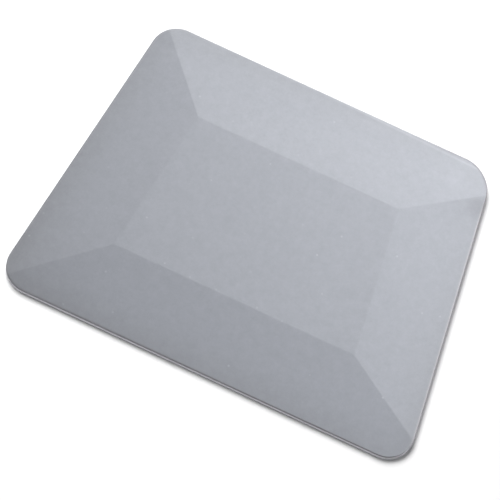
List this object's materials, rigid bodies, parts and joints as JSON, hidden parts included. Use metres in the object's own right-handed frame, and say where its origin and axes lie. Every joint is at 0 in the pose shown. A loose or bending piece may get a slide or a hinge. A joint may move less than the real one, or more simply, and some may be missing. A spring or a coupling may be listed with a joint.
{
  "type": "hard card squeegee",
  "caption": "Trapezoid hand card of stiff grey plastic with a raised flat centre and bevelled blades all round, for pressing film flat and spreading filler.",
  "frame": {"origin": "on the underside, at the middle of the card's length and of its height, so the card stands on z = 0", "axes": "+X along the long blade, +Y from the long blade to the short blade, +Z out of the bevelled face"},
  "size_m": [0.0998, 0.073, 0.003],
  "materials": {
    "silver_grey_plastic": "satin moulded face, silver grey with a slight blue cast"
  },
  "bodies": {
    "root": {"squeegee_card": "silver_grey_plastic"}
  },
  "joints": []
}
